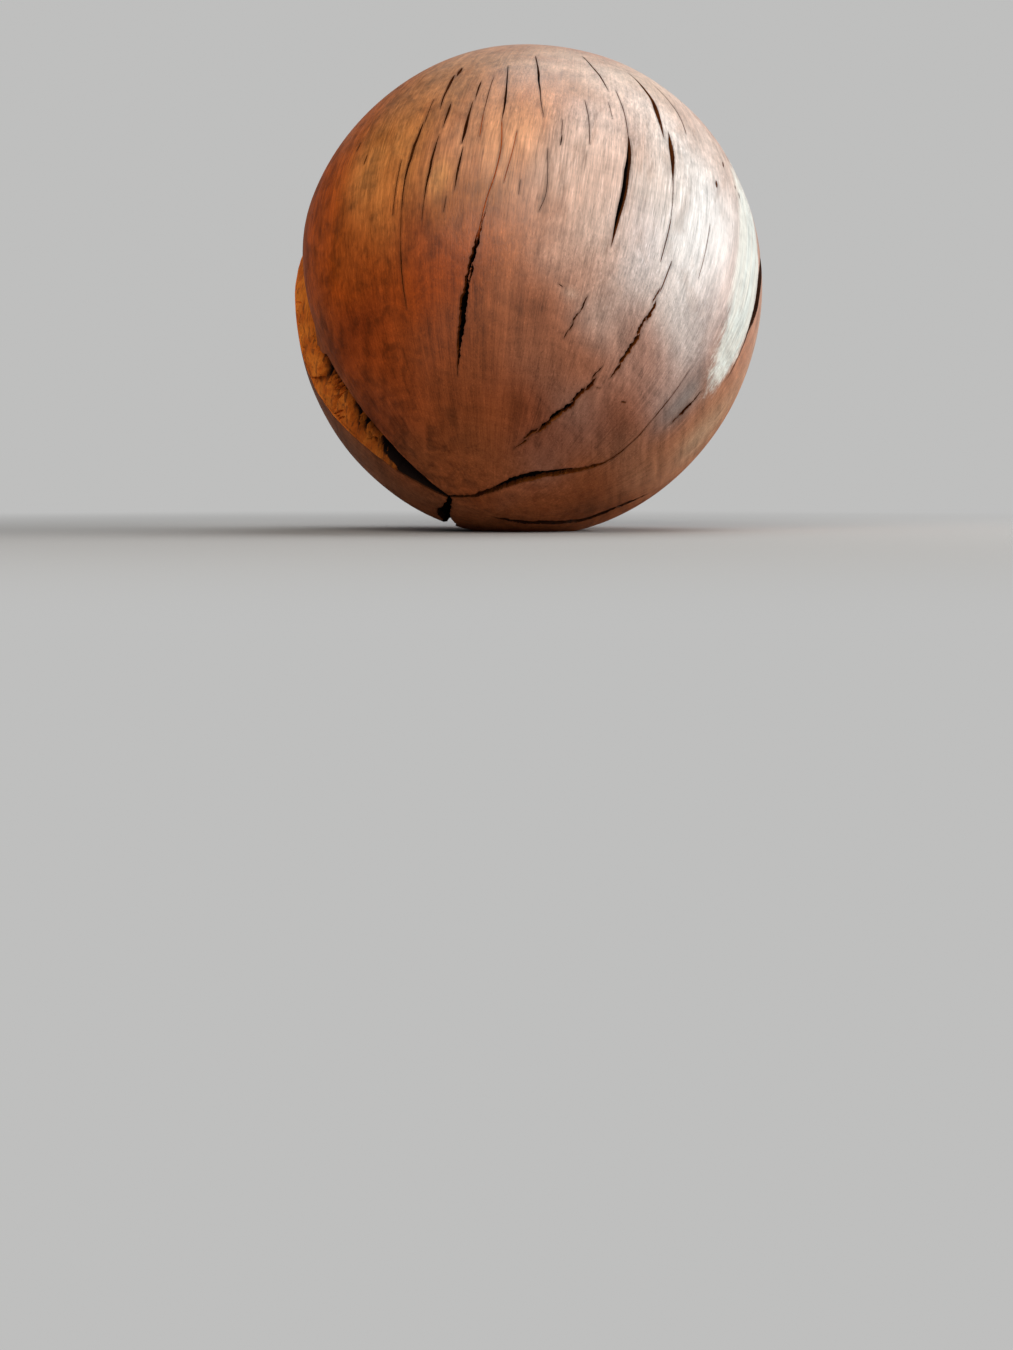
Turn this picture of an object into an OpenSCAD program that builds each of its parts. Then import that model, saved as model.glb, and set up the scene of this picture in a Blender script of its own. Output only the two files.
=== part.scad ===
// A turned ball of solid hardwood that has dried out. It shrank across the grain, so it is a little
// oval, and it split: one great crack, a notch and a stepped crack run out from the pith at the
// bottom, and many smaller checks follow the grain. It rests on a small flat turned on its underside.
// Origin: centre of that flat. +Z is up, and -Y is the side with the most checks.

/* [Ball] */
// Diameter across the grain
across_grain = 458; // [300:1:600]
// How much longer the ball is along the grain than across it
oval_extra = 26; // [6:1:60]
// Diameter of the flat underneath
flat_d = 110; // [60:1:180]

/* [Grain] */
// Lean of the grain from upright, in degrees
grain_lean = 27; // [5:1:45]
// Direction in which the top of the grain leans, in degrees from +X towards +Y
grain_bearing = 73; // [-180:1:180]

/* [Great crack] */
// Opening of the great crack at its widest
great_w = 40; // [16:1:60]
// Depth of the great crack at its widest
great_depth = 92; // [40:1:120]
// Deepest sinking of its upper lip below the round of the ball
lip_drop = 13; // [2:0.5:18]
// Width of the band over which that lip rolls in
lip_roll = 72; // [20:1:90]
// Height of the torn blocks on its lower wall
tear = 5; // [0.5:0.5:8]

/* [Side cracks] */
// Opening of the notch that runs down from the pith
notch_w = 14; // [6:0.5:24]
// Depth of that notch
notch_depth = 60; // [20:1:90]
// Opening of the stepped crack that runs to the right of the pith
step_w = 11; // [4:0.5:18]
// Depth of that crack
step_depth = 40; // [15:1:70]
// Opening of the crack at the right edge
edge_w = 18; // [6:0.5:26]
// Depth of that crack
edge_depth = 50; // [15:1:80]

/* [Checks] */
// Opening of the widest check
check_w = 10; // [4:0.5:16]
// Depth of the widest check
check_depth = 46; // [15:1:70]
// Unevenness of a torn edge
ragged = 1.2; // [0:0.1:2]

/* [Hidden] */

ball_r = across_grain / 2;
pole_r = ball_r + oval_extra / 2;

// The oval's outline has a wide arc for its flank and a tighter arc for each end. They meet
// tangentially where both lie 45 degrees round, which fixes how far each centre is off the middle.
arc_offset = (pole_r - ball_r) / (2 - sqrt(2));
flank_r = ball_r + arc_offset;
end_r = pole_r - arc_offset;

// Half the height of the leaning oval, and how far its middle stands above and beside the flat
half_h = sqrt(pow(ball_r * sin(grain_lean), 2) + pow(pole_r * cos(grain_lean), 2));
centre_z = half_h * sqrt(1 - pow(flat_d / 2 / ball_r, 2));
centre_off = (pow(pole_r, 2) - pow(ball_r, 2)) * sin(grain_lean) * cos(grain_lean)
    * centre_z / pow(half_h, 2);

// How far a cutter reaches out past the surface
proud = ball_r / 14;
// Stretches cut between two listed points of a check, and of the great crack
check_steps = 2;
great_steps = 4;
// Facets of the rolled lip, as shares of its band's width. Beyond the last one it runs out.
lip_facets = [0, 0.3, 0.6];
// Torn shelf of the great crack, from its lower lip to under its upper one: [share of the opening,
// share of the depth where the shelf still stands, the same where it has broken away]
shelf = [[0, 0.04, 0.2], [0.35, 0.12, 0.8], [0.7, 0.24, 1], [0.86, 0.6, 1]];

// Places on the ball are [longitude, latitude] about the grain, in degrees: latitude -90 is the
// lower pole. The three main cracks start at the pith, which lies a little off that pole.

// The great crack, upwards from the pith: [latitude, longitude of the upper lip, longitude of the
// lower lip, share of the full depth, share of the full sinking, how far the shelf is broken away]
great = [
    [-79, 127, 121, 0.15, 0.12, 1],
    [-71, 128, 121, 0.4, 0.3, 1],
    [-62, 128, 117, 0.75, 0.54, 1],
    [-53, 127, 113, 1, 0.7, 0.6],
    [-45, 126, 110, 1, 0.73, 0],
    [-36, 123, 108, 1, 0.8, 0],
    [-28, 120, 107.5, 0.95, 0.88, 0],
    [-19, 117, 107.5, 0.85, 0.96, 0],
    [-10, 114, 107, 0.75, 1, 0],
    [-1, 110, 104.5, 0.6, 0.92, 0],
    [9, 105, 101.5, 0.45, 0.7, 0],
    [19, 100, 98, 0.25, 0.38, 0],
    [29, 95.6, 95, 0.08, 0.12, 0]
];
// Opening of the great crack that its listed longitudes stand for
great_listed_w = 40;

// Cracks as lists of points: [longitude, latitude, share of the full opening]
notch = [
    [125, -79.5, 0.3],
    [96, -77.5, 0.55],
    [53, -69.8, 1],
    [37, -57, 0.85],
    [29, -45, 0.45],
    [25, -34, 0.04]
];
step = [
    [125, -78.5, 0.3],
    [172, -81.3, 0.45],
    [206, -77, 0.8],
    [222, -72.5, 1],
    [235, -68, 0.75],
    [244.5, -64.5, 0.5],
    [249.5, -61.3, 0.25],
    [250.5, -55, 0.14],
    [251.5, -45, 0.12],
    [252, -32, 0.05]
];

// Wide crack at the right edge, seen almost along the surface
edge = [
    [281, 28, 0.04],
    [277.5, 16, 0.6],
    [273.8, 8, 0.95],
    [271.3, 2, 1],
    [271, -4, 0.85],
    [270.4, -8.5, 0.55],
    [269.8, -13, 0.16],
    [270.3, -25, 0.04]
];

// Checks: [share of the full unevenness, [points]]
checks = [
    // long check in the middle of the front
    [1, [[185.2, -17.5, 0.05], [184.4, -23, 0.3], [182.3, -34, 0.74], [181, -41, 0.5], [179.5, -49.5, 0.05]]],
    // clean check at the upper right, and the two above it
    [0.2, [[217.1, 13.5, 0.06], [217.5, 8, 0.5], [217.4, -1, 0.66], [217, -9, 0.5], [216.8, -16, 0.05]]],
    [0.3, [[220, 41.4, 0.08], [222.7, 37, 0.22], [224.8, 31.2, 0.44], [225.8, 25.6, 0.62], [227, 17, 0.05]]],
    [0.3, [[228.5, 20.4, 0.06], [229, 14.4, 0.6], [229.4, 8.8, 0.3], [229.6, 6, 0.12], [230.2, -4, 0.05]]],
    // row of checks over the top and the upper left
    [0.3, [[205.2, 43.8, 0.12], [207.6, 38.2, 0.26], [210, 32.6, 0.22], [212, 27, 0.05]]],
    [0.3, [[191, 38.5, 0.12], [192.8, 31.5, 0.2], [193.5, 27.7, 0.32], [195, 18, 0.1], [196, 13, 0.05]]],
    [0.2, [[184.9, 32, 0.07], [186.3, 22, 0.16], [187.1, 13.7, 0.18], [188.3, 4.6, 0.06]]],
    [0.2, [[182.1, 27, 0.08], [182.3, 20, 0.14], [182.5, 13, 0.05]]],
    [0.3, [[179.2, 25, 0.1], [179.2, 22.5, 0.18], [179.4, 18, 0.05]]],
    [0.3, [[179, 16.5, 0.06], [179, 9, 0.34], [178.9, 4, 0.1]]],
    [0.3, [[179.4, 2.5, 0.1], [179.1, -2, 0.3], [178.8, -8, 0.05]]],
    [0.2, [[173.4, 17.5, 0.07], [173.4, 14, 0.24], [173.3, 9.5, 0.06]]],
    [0.3, [[170.9, 33.5, 0.2], [170.4, 26, 0.52], [170.7, 20, 0.3], [171, 15.5, 0.05]]],
    [0.3, [[172.8, 7.4, 0.06], [172.1, -1, 0.34], [171.5, -10, 0.1], [171.2, -14.5, 0.05]]],
    [0.3, [[167.6, 12, 0.1], [167, 6, 0.42], [165.9, -4, 0.24], [165.7, -12, 0.06]]],
    [0.2, [[165.6, -18, 0.05], [165.6, -25, 0.14], [165.9, -34, 0.06]]],
    // torn pair low on the front
    [1, [[232.2, -20, 0.08], [231.4, -26, 0.3], [231, -31.8, 0.4], [230, -37, 0.4], [228.4, -43.5, 0.1]]],
    [1, [[225.4, -41, 0.1], [222, -46.5, 0.36], [219, -51, 0.42], [212.5, -59.8, 0.34], [200, -67.3, 0.06]]],
    [1, [[214.3, -28, 0.1], [212.4, -34, 0.2], [211, -38.5, 0.1]]],
    // short torn check low on the right
    [1, [[262, -33, 0.1], [261.3, -38, 0.32], [260.4, -44, 0.12]]],
    // torn line close above the flat
    [1, [[40, -88.5, 0.1], [309, -81, 0.35], [304, -69.5, 0.42], [297, -60.5, 0.32], [299, -51, 0.06]]]
];

// Direction of a place on the ball
function aim(lon, lat) = [cos(lat) * cos(lon), cos(lat) * sin(lon), sin(lat)];
function unit(v) = v / norm(v);
// Distance of the surface from the middle in a direction
function reach(v) = 1 / norm([v.x / ball_r, v.y / ball_r, v.z / pole_r]);

// Listed rows with evenly spaced steps put in between them
function blend(rows, steps) = [
    for (i = [0:len(rows) - 2]) for (k = [0:steps - 1]) rows[i] + (rows[i + 1] - rows[i]) * k / steps,
    rows[len(rows) - 1]
];

// Triangles of a closed body through rings of n points, with its ends filled from their first point
function skin(count, n) = [
    for (i = [0:count - 2]) for (k = [0:n - 1]) each [
        [i * n + k, i * n + (k + 1) % n, (i + 1) * n + k],
        [i * n + (k + 1) % n, (i + 1) * n + (k + 1) % n, (i + 1) * n + k]
    ],
    for (k = [1:n - 2]) each [[0, k + 1, k], [(count - 1) * n, (count - 1) * n + k, (count - 1) * n + k + 1]]
];

// Body that opens a crack: a wedge through listed points, widest outside and sharp at its bottom
module crack_cutter(points, full_w, full_depth, uneven, seed) {
    rows = blend([for (p = points) concat(aim(p[0], p[1]), p[2])], check_steps);
    last = len(rows) - 1;
    jitter = rands(-uneven, uneven, 2 * len(rows), seed);
    rings = [for (i = [0:last])
        let (
            v = unit([rows[i][0], rows[i][1], rows[i][2]]),
            a = rows[max(i - 1, 0)],
            b = rows[min(i + 1, last)],
            side = unit(cross(v, [b[0] - a[0], b[1] - a[1], b[2] - a[2]])),
            open = rows[i][3],
            half = full_w * open / 2,
            deep = full_depth * (0.25 + 0.75 * open),
            flare = half * proud / deep,
            shake = min(1, 2 * open)
        ) each [
            v * (reach(v) + proud) - side * (half + flare + shake * jitter[2 * i]),
            v * (reach(v) + proud) + side * (half + flare + shake * jitter[2 * i + 1]),
            v * (reach(v) - deep)
        ]
    ];
    polyhedron(rings, skin(last + 1, 3), convexity = 6);
}

// Body that opens the great crack. Each ring runs from the lower lip down a torn shelf to the
// bottom, up the hollow under the upper lip, out over the band where that lip rolls in, and back
// above the surface.
module great_cutter() {
    rows = blend(great, great_steps);
    last = len(rows) - 1;
    blocks = rands(-tear, tear, len(shelf) * len(rows), 11);
    rings = [for (i = [0:last])
        let (
            lat = rows[i][0],
            upper = rows[i][1],
            lower = upper - (upper - rows[i][2]) * great_w / great_listed_w,
            share = rows[i][3],
            deep = share * great_depth,
            sink = rows[i][4] * lip_drop,
            broken = rows[i][5],
            roll = lip_roll / (ball_r * cos(lat)) * 180 / PI,
            v_low = aim(lower, lat),
            v_up = aim(upper, lat),
            v_out = aim(upper + roll, lat)
        ) each [
            v_low * (reach(v_low) + proud),
            for (k = [0:len(shelf) - 1])
                let (
                    v = aim(lower + shelf[k][0] * (upper - lower), lat),
                    drop = deep * (shelf[k][1] + broken * (shelf[k][2] - shelf[k][1]))
                ) v * (reach(v) - drop + share * blocks[len(shelf) * i + k]),
            v_up * (reach(v_up) - deep - tear),
            for (f = lip_facets)
                let (v = aim(upper + f * roll, lat))
                    v * (reach(v) - sink * pow(1 - f, 2)),
            v_out * (reach(v_out) + proud / 8),
            v_up * (reach(v_up) + proud)
        ]
    ];
    polyhedron(rings, skin(last + 1, 4 + len(shelf) + len(lip_facets)), convexity = 8);
}

// Half of the oval's outline, to the right of the grain axis
module oval_outline() {
    side = flank_r + end_r;
    intersection() {
        translate([-arc_offset, 0]) circle(r = flank_r, $fn = 180);
        polygon([[0, -arc_offset], [side, -side - arc_offset], [side, side + arc_offset], [0, arc_offset]]);
    }
    for (end = [-1, 1])
        intersection() {
            translate([0, end * arc_offset]) circle(r = end_r, $fn = 180);
            translate([0, -side]) square([side, 2 * side]);
        }
}

// Moves what is modelled about the grain axis to its place above the flat
module along_grain() {
    translate([centre_off * cos(grain_bearing), centre_off * sin(grain_bearing), centre_z])
        rotate([0, grain_lean, grain_bearing])
            children();
}

module cracks() {
    great_cutter();
    crack_cutter(notch, notch_w, notch_depth, ragged, 21);
    crack_cutter(step, step_w, step_depth, ragged, 22);
    crack_cutter(edge, edge_w, edge_depth, ragged / 2, 23);
    for (i = [0:len(checks) - 1])
        crack_cutter(checks[i][1], check_w, check_depth, ragged * checks[i][0], 40 + i);
}

module ball() {
    color("#8c5236")
        difference() {
            along_grain()
                difference() {
                    rotate_extrude($fn = 180) oval_outline();
                    cracks();
                }
            translate([-across_grain, -across_grain, -2 * across_grain])
                cube(2 * across_grain);
        }
}

ball();
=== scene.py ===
"""Looks of the turned wooden ball: its hand-sanded skin, its torn drying cracks and its wood.

The mesh is worked out in millimetres about the grain: the origin is the middle of the ball and +Z
runs up the grain. Longitudes and latitudes are degrees about that axis, as in the part's source.
"""

import math

import bmesh
import bpy
import numpy as np
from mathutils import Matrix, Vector
from mathutils.kdtree import KDTree

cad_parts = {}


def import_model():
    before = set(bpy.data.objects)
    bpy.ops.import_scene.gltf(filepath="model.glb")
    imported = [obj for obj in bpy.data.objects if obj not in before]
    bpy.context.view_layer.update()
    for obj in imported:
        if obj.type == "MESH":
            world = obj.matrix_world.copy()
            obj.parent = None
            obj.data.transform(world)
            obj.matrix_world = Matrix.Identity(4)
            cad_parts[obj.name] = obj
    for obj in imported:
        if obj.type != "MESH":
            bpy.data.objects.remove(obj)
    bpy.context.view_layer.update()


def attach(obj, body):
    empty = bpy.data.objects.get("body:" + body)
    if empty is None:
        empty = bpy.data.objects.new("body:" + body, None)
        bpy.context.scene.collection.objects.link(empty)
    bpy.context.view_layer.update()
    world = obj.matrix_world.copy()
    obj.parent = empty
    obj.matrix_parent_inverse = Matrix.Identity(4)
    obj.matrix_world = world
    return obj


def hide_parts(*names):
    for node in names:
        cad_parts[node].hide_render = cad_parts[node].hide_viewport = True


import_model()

# ---------------------------------------------------------------- sizes, in millimetres

MM = 0.001  # in metres, the unit of the row frame
BALL_R = 229.0
POLE_R = 242.0
FLAT_R = 55.0
LEAN = math.radians(27)
BEARING = math.radians(73)

HALF_H = math.hypot(BALL_R * math.sin(LEAN), POLE_R * math.cos(LEAN))
CENTRE_Z = HALF_H * math.sqrt(1 - (FLAT_R / BALL_R) ** 2)
CENTRE_OFF = (POLE_R**2 - BALL_R**2) * math.sin(LEAN) * math.cos(LEAN) * CENTRE_Z / HALF_H**2
CENTRE = np.array([CENTRE_OFF * math.cos(BEARING), CENTRE_OFF * math.sin(BEARING), CENTRE_Z])

# The great crack, upwards from the pith: [latitude, longitude of the upper lip, longitude of the
# lower lip, share of the full depth, sinking of the upper lip]
GREAT = np.array([
    [-79, 127, 121, 0.15, 0],
    [-71, 128, 119, 0.4, 4],
    [-66, 128, 116.8, 0.6, 5.5],
    [-62, 128, 116.2, 0.75, 7],
    [-53, 127, 113, 1, 9],
    [-45, 126, 110, 1, 9.5],
    [-36, 123, 108, 1, 10.5],
    [-28, 120, 107.5, 0.95, 11.5],
    [-19, 117, 107.5, 0.85, 12.5],
    [-10, 114, 107, 0.75, 13],
    [-1, 110, 104.5, 0.6, 12],
    [9, 105, 101.5, 0.45, 9],
    [19, 100, 98, 0.25, 5],
    [29, 95.6, 95, 0.08, 0],
])
GREAT_DEPTH = 92.0
LIP_ROLL = 72.0  # how far from the upper lip the surface rolls in
NOTCH_POCKET = 25.0  # how much deeper the crack is beside the notch
GREAT_ROWS = 370  # rings of points along the crack

# Lower wall of the great crack: [latitude, share of the way across at which its torn shelf breaks
# away, drop beyond that in mm, depth in mm at which its painted shade is full, least painted shade]
SHELF = np.array([
    [-79, 0, 90, 1.5, 0.9],
    [-65.8, 0, 90, 1.5, 0.9],
    [-65.2, 0.06, 90, 3.5, 0.6],
    [-62, 0.04, 40, 5, 0.5],
    [-58, 0.05, 18, 12, 0.36],
    [-51.8, 0.08, 15, 12, 0.36],
    [-50.7, 0.12, 15, 12, 0.2],
    [-49.4, 0.19, 16, 12, 0.14],
    [-48.2, 0.27, 18, 11, 0.1],
    [-47, 0.34, 18, 11, 0.1],
    [-45.7, 0.42, 22, 12, 0.1],
    [-42.4, 0.42, 12, 14, 0.12],
    [-41, 0.19, 11, 13, 0.12],
    [-34.7, 0.17, 11, 13, 0.08],
    [-32.9, 0.24, 12, 14, 0],
    [-30.8, 0.36, 14, 14, 0],
    [-28.6, 0.33, 14, 14, 0],
    [-27.2, 0.27, 14, 14, 0],
    [-26.7, 0.22, 14, 14, 0],
    [-25.4, 0.25, 14, 14, 0],
    [-22.6, 0.42, 10, 20, 0],
    [-14, 0.6, 8, 30, 0],
    [30, 0.6, 8, 30, 0],
])
# Splinters that stand in the gap: [latitude, shares where they start and end, slope in degrees for
# the whole way across, half of their thickness in degrees]
SPLINTERS = [
    (-61.9, 0.05, 0.26, 6, 0.13),
    (-60.2, 0.05, 0.18, 7, 0.16),
    (-59.0, 0.09, 0.27, 8, 0.55),
    (-57.2, 0.06, 0.18, 8, 0.2),
    (-55.3, 0.13, 0.35, 9, 0.6),
    (-56.2, 0.29, 0.34, 0, 1.7),
    (-52.6, 0.12, 0.42, 9, 0.16),
    (-41.6, 0.30, 0.44, 3, 0.2),
    (-40.4, 0.34, 0.46, 4, 0.28),
    (-39.3, 0.29, 0.45, 6, 0.4),
    (-38.0, 0.32, 0.44, 10, 0.22),
    (-36.9, 0.30, 0.47, 12, 0.3),
    (-35.9, 0.28, 0.43, 12, 0.2),
]
SHELF_SLOPE = 0.32  # drop of the shelf across the whole gap, as a share of the depth there
# Ledge and split across the shelf: [share of the way across, latitude]
LEDGE = np.array([[0, -32.8], [0.06, -33.2], [0.18, -34.2], [0.3, -32.9]])
SPLIT = np.array([[0, -44.4], [0.1, -43.9], [0.25, -42.6], [0.42, -42.3]])
# Latitudes of the short slits at the lower lip
LIP_SLITS = (-11.5, -14.2, -17.6, -20.6, -24.4, -44.8, -45.7, -46.6)
# Broken lobes below the upper lip: [latitude, reach into the gap in mm]
LOBES = np.array([
    [-33.5, 0],
    [-32, 8],
    [-30.4, 11],
    [-30.1, 8],
    [-28.3, 14],
    [-27.9, 11],
    [-26, 5],
    [-24, 0],
])

# Cracks from the pith: [longitude, latitude, share of the full opening]
NOTCH = [
    [125, -79, 0.3],
    [96, -78.6, 0.6],
    [70, -75, 0.95],
    [50, -69.8, 1],
    [37, -57, 0.85],
    [29, -45, 0.45],
    [25, -34, 0.04],
]
NOTCH_W = 14.0
NOTCH_DEPTH = 60.0
STEP = [
    [125, -78.5, 0.3],
    [172, -81.3, 0.45],
    [206, -77, 0.8],
    [222, -72.5, 1],
    [235, -68.6, 0.75],
    [243.5, -65.2, 0.5],
    [249.2, -61.7, 0.26],
    [252.2, -57, 0.12],
    [252.6, -51, 0.10],
    [252, -43, 0.08],
    [252.2, -32, 0.04],
]
STEP_W = 11.0
STEP_DEPTH = 40.0

# Wide crack at the right edge, seen almost along the surface
EDGE = [
    [281, 28, 0.04],
    [277.5, 16, 0.6],
    [273.8, 8, 0.95],
    [271.3, 2, 1],
    [271, -4, 0.85],
    [270.4, -8.5, 0.55],
    [269.8, -13, 0.16],
    [270.3, -25, 0.04],
]
EDGE_W = 18.0
EDGE_DEPTH = 50.0

# Checks: (share of the full unevenness, points as [longitude, latitude, share of the full opening])
CHECKS = [
    # clean check at the upper right, and the two above it
    (0.2, [[217.1, 13.5, 0.06], [217.5, 8, 0.42], [217.4, -1, 0.56], [217, -9, 0.42],
           [216.8, -16, 0.05]]),
    (0.3, [[220, 41.4, 0.08], [222.7, 36.8, 0.22], [224.8, 31.2, 0.38], [225.8, 25.6, 0.52],
           [226.9, 17.2, 0.05]]),
    (0.3, [[228.5, 20.4, 0.06], [229, 14.4, 0.6], [229.4, 8.8, 0.3], [229.6, 6, 0.12],
           [230.2, -4, 0.05]]),
    # row of checks over the top and the upper left
    (0.3, [[205.2, 43.8, 0.08], [207.6, 38.2, 0.16], [210, 32.6, 0.15], [212, 27, 0.04]]),
    (0.3, [[191, 38.5, 0.09], [192.8, 31.5, 0.15], [193.5, 27.7, 0.22], [195.3, 18.6, 0.08],
           [196.6, 13, 0.04]]),
    (0.2, [[184.6, 32, 0.07], [186, 24, 0.14], [186.9, 17, 0.2], [187.2, 11, 0.05]]),
    (0.2, [[182.1, 27, 0.05], [182.3, 20, 0.08], [182.5, 13, 0.04]]),
    (0.3, [[179.2, 25, 0.1], [179.2, 22.5, 0.18], [179.4, 18, 0.05]]),
    (0.3, [[179, 17.5, 0.06], [179, 9, 0.28], [178.9, 4, 0.1]]),
    (0.3, [[179.4, 3, 0.1], [179.1, -2, 0.2], [178.8, -8, 0.05]]),
    (0.2, [[173.4, 17.5, 0.07], [173.4, 14, 0.24], [173.3, 9.5, 0.06]]),
    (0.3, [[170.9, 33, 0.2], [171.2, 30.5, 0.36], [171.3, 28.5, 0.1]]),
    (0.3, [[170.2, 29.5, 0.12], [170.4, 26, 0.34], [170.7, 20, 0.2], [171, 15.5, 0.05]]),
    (0.3, [[172.8, 7.4, 0.06], [172.1, -1, 0.24], [171.5, -10, 0.08], [171.2, -14.5, 0.05]]),
    (0.3, [[167.6, 12, 0.1], [167, 6, 0.29], [165.9, -4, 0.17], [165.7, -12, 0.05]]),
    (0.2, [[165.6, -18, 0.05], [165.6, -25, 0.14], [165.9, -34, 0.06]]),
]
# Torn checks, where fibres still bridge the gap: (strands, how far they lie apart in mm, points)
TORN = [
    # long check in the middle of the front
    (1, 0, [[185.2, -17.5, 0.05], [184.4, -23, 0.3], [183.2, -29, 0.42], [182.3, -34, 0.74],
            [181, -41, 0.5], [179.5, -49.5, 0.05]]),
    (1, 0, [[186.9, -11, 0.05], [185.8, -18, 0.16], [184.8, -24, 0.2], [183.8, -29.5, 0.2],
            [182.9, -33, 0.1]]),
    # torn pair low on the front
    (6, 1.9, [[232.2, -20, 0.08], [231.4, -26, 0.3], [231, -31.8, 0.4], [230, -37, 0.4],
              [228.4, -43.5, 0.1]]),
    (8, 2.0, [[225.2, -41.5, 0.1], [223, -46.8, 0.36], [219.8, -52, 0.42], [213, -59.5, 0.34],
              [203.6, -66, 0.08]]),
    (5, 0.8, [[214.3, -28, 0.06], [212.4, -34, 0.13], [211, -38.5, 0.06]]),
    # short torn check low on the right
    (3, 0.6, [[262, -33, 0.1], [261.3, -38, 0.32], [260.4, -44, 0.12]]),
    # torn line close above the flat
    (4, 1.6, [[40, -88.5, 0.3], [309, -81, 0.8], [304, -69.5, 0.9], [297, -60.5, 0.7],
              [299, -51, 0.08]]),
]
# Hairline splits and worm holes: (width in mm, points as [longitude, latitude])
HAIRS = [
    (0.9, [[230.2, -4], [229.9, -15]]),
    (1.0, [[232.8, -13.6], [232.2, -21.3]]),
    (0.8, [[214, 28.4], [216, 20.3], [217, 13.5]]),
    (0.5, [[211.8, 22.5], [213, 17]]),
    (0.8, [[229.3, 40.3], [232.1, 35.4], [234.2, 29.8], [234.9, 23.5]]),
    (0.6, [[242, 0.4], [242, -7], [242, -13.6]]),
    (0.7, [[205.8, 21], [207.1, 15], [208, 7.4]]),
    (0.5, [[198.7, 4], [199.8, -6.6], [198.8, -12]]),
    (1.2, [[201.4, 8.4], [201.4, 5.4]]),
    (0.5, [[201.1, 13], [201.3, 8.4]]),
    (0.7, [[165.7, -12], [165.6, -18]]),
    (0.8, [[167.9, 20], [168, 11.8]]),
    (0.8, [[164, 1.8], [163.3, -12]]),
    (0.7, [[177, -9.4], [176.6, -13]]),
    (0.5, [[193.7, -5], [193.7, -8.5]]),
    (1.6, [[152.3, 6.8], [152.1, 4.2]]),
    (2.0, [[147.7, 12.5], [147.4, 10]]),
    (3.4, [[244, 14], [244, 12]]),
    (2.6, [[249.6, 23.6], [249, 21.6]]),
    (1.6, [[254.4, 19.3], [254, 18]]),
    (1.8, [[256.2, 18.2], [256, 16.6]]),
    (2.4, [[236.6, -46.8], [238.2, -46.4]]),
    (0.9, [[226, -46.4], [227.2, -46.2]]),
    (1.0, [[206.4, -27.2], [207.4, -27.6]]),
    (0.9, [[309, -57], [307, -47]]),
]
# Pale scars: shallow splits with bright wood in them
SCARS = [
    (1.0, [[187.2, 11], [188.2, 3.6], [187.8, -4], [186.4, -11.3], [185.3, -19.1]]),
    (0.8, [[182.5, 13], [182.8, 6]]),
    (0.7, [[191.2, 8], [190.8, 1], [190, -6]]),
]
CHECK_W = 10.0
CHECK_DEPTH = 46.0
HAIR_DEPTH = 9.0
HAIR_DEEPER = 4.0  # for each mm of a hairline's width
SCAR_DEPTH = 1.4
SCAR_REACH = 0.9  # degrees to each side of a scar in which its wood is bright
RAGGED = 1.2  # full unevenness of a crack's walls
HAIR_UNEVEN = 0.15

# Rows of points down a crack's wall: shares of its depth, and first how far in mm it stands out
WALL_LEVELS = np.array([-5, 0, 0.03, 0.09, 0.18, 0.32, 0.5, 0.72, 1.0])
HAIR_LEVELS = np.array([-5, 0, 0.12, 0.45, 1.0])
RING_STEP = 1.6  # from ring to ring along a crack

# Broad dips of the sanded ball: (direction in the row frame, spread in degrees, depth)
DIPS = [
    ((0.22, 0.0, 0.97), 26, 1.8),
    ((0.1, -0.99, 0.1), 40, 1.0),
    ((0.75, -0.1, -0.65), 26, 1.6),
    ((-0.98, 0.0, -0.15), 9, 1.2),
]
# Fine ripples that the sanding left, each as deep as RIPPLE: waves along the three axes
RIPPLE = 0.12
RIPPLE_WAVES = [(9, 4, 2), (-5, 11, 3), (6, -7, 5), (13, 9, -4), (-16, 5, 7)]
SKIN_INSET = 6.5 * RIPPLE  # keeps the rippled skin inside the solid

# First seed of each kind of cutter's random unevenness
SEEDS = {"great": 3, "notch": 21, "step": 22, "edge": 23, "checks": 40, "strands": 80, "torn": 100,
         "hairs": 200, "scars": 240}

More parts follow.
